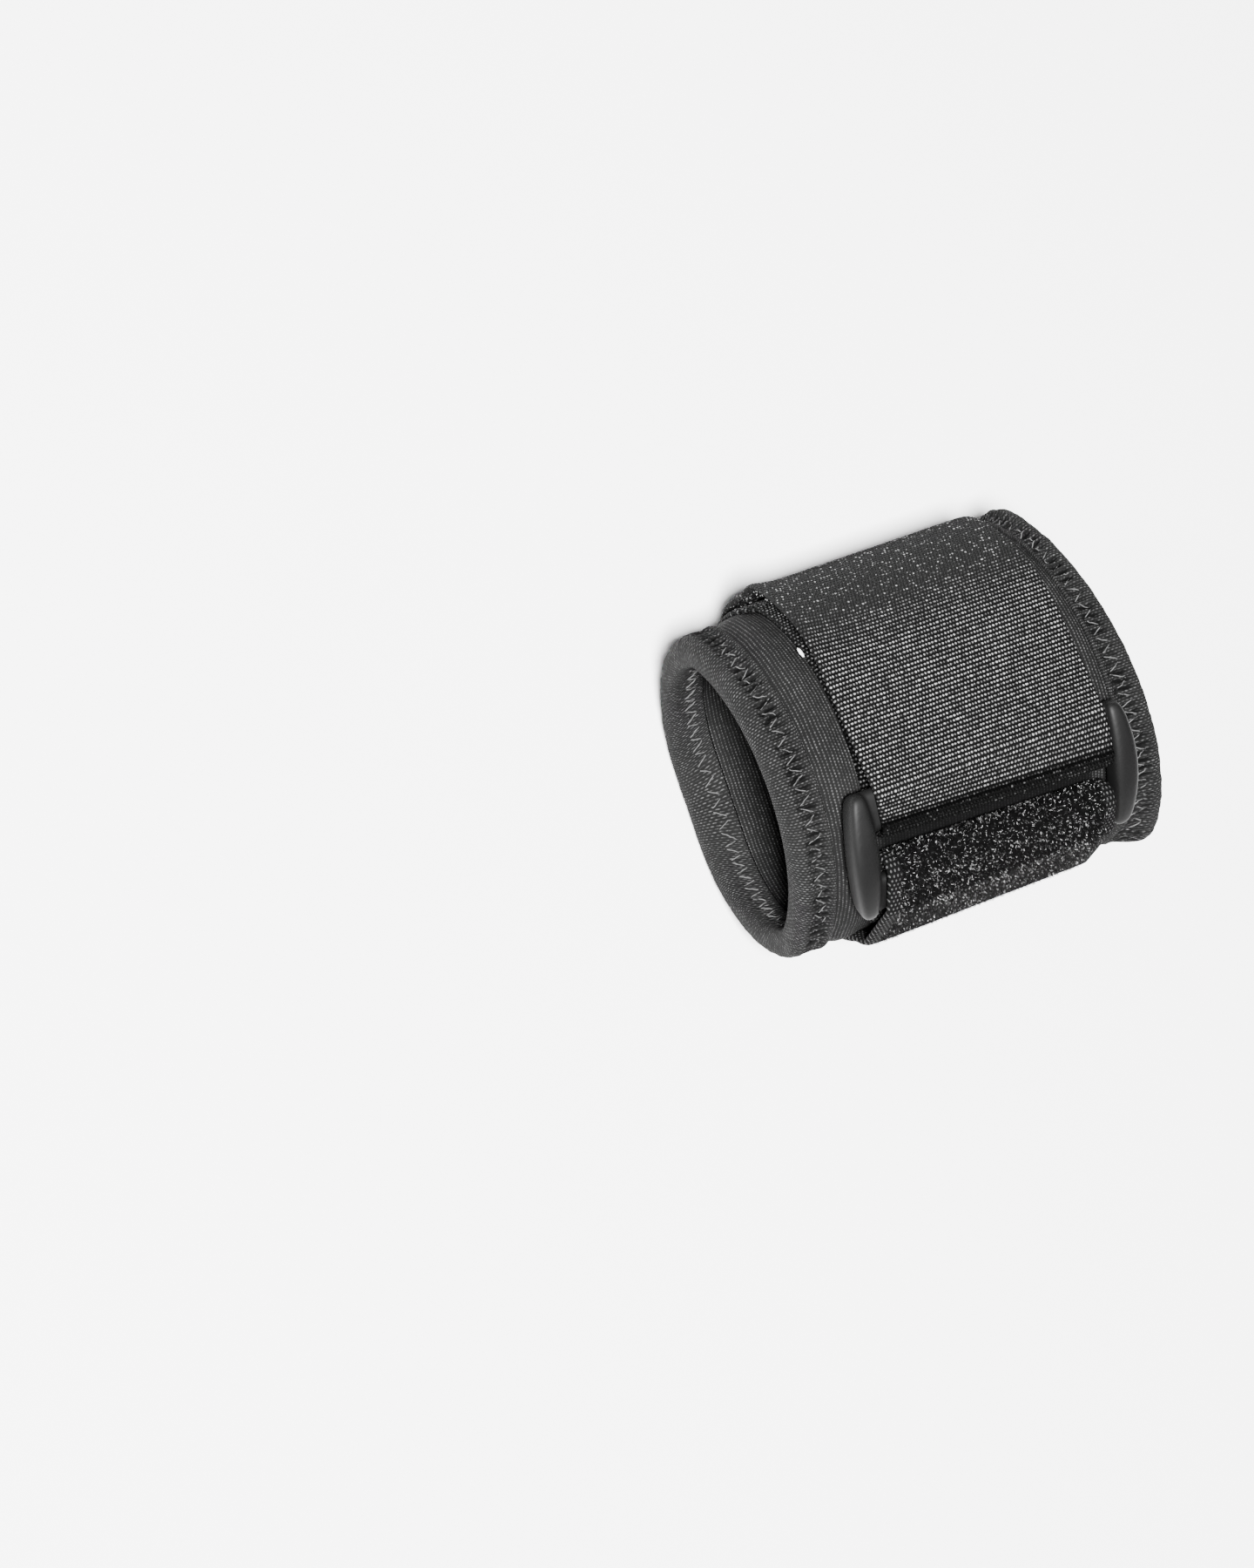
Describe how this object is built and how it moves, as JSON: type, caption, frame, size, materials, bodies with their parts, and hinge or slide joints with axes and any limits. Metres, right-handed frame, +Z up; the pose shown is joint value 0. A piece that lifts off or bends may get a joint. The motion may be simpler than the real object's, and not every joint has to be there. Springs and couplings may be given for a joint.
{
  "type": "wrist wrap",
  "caption": "Neoprene wrist cuff with bound rims, tightened by a ribbed strap folded through a plastic ring held by a pile strap.",
  "frame": {"origin": "on the flat underside of the fastened outer strap, mid band, under the middle of the palm side", "axes": "+X along the arm towards the forearm, +Y to the thumb side, +Z up to the back of the hand"},
  "size_m": [0.0815, 0.0735, 0.0585],
  "materials": {
    "knit": "matte fine knit over neoprene",
    "binding": "folded knit tape with zigzag stitching",
    "webbing": "ribbed woven strap with a dull sheen",
    "pile": "brushed loop pile",
    "hook": "hook tape",
    "ring_plastic": "satin moulded plastic"
  },
  "bodies": {
    "root": {"neoprene_sleeve": "knit", "hand_edge_binding": "binding", "forearm_edge_binding": "binding", "ribbed_strap": "webbing", "pile_strap": "pile", "hook_patch": "hook", "strap_ring": "ring_plastic"}
  },
  "joints": []
}
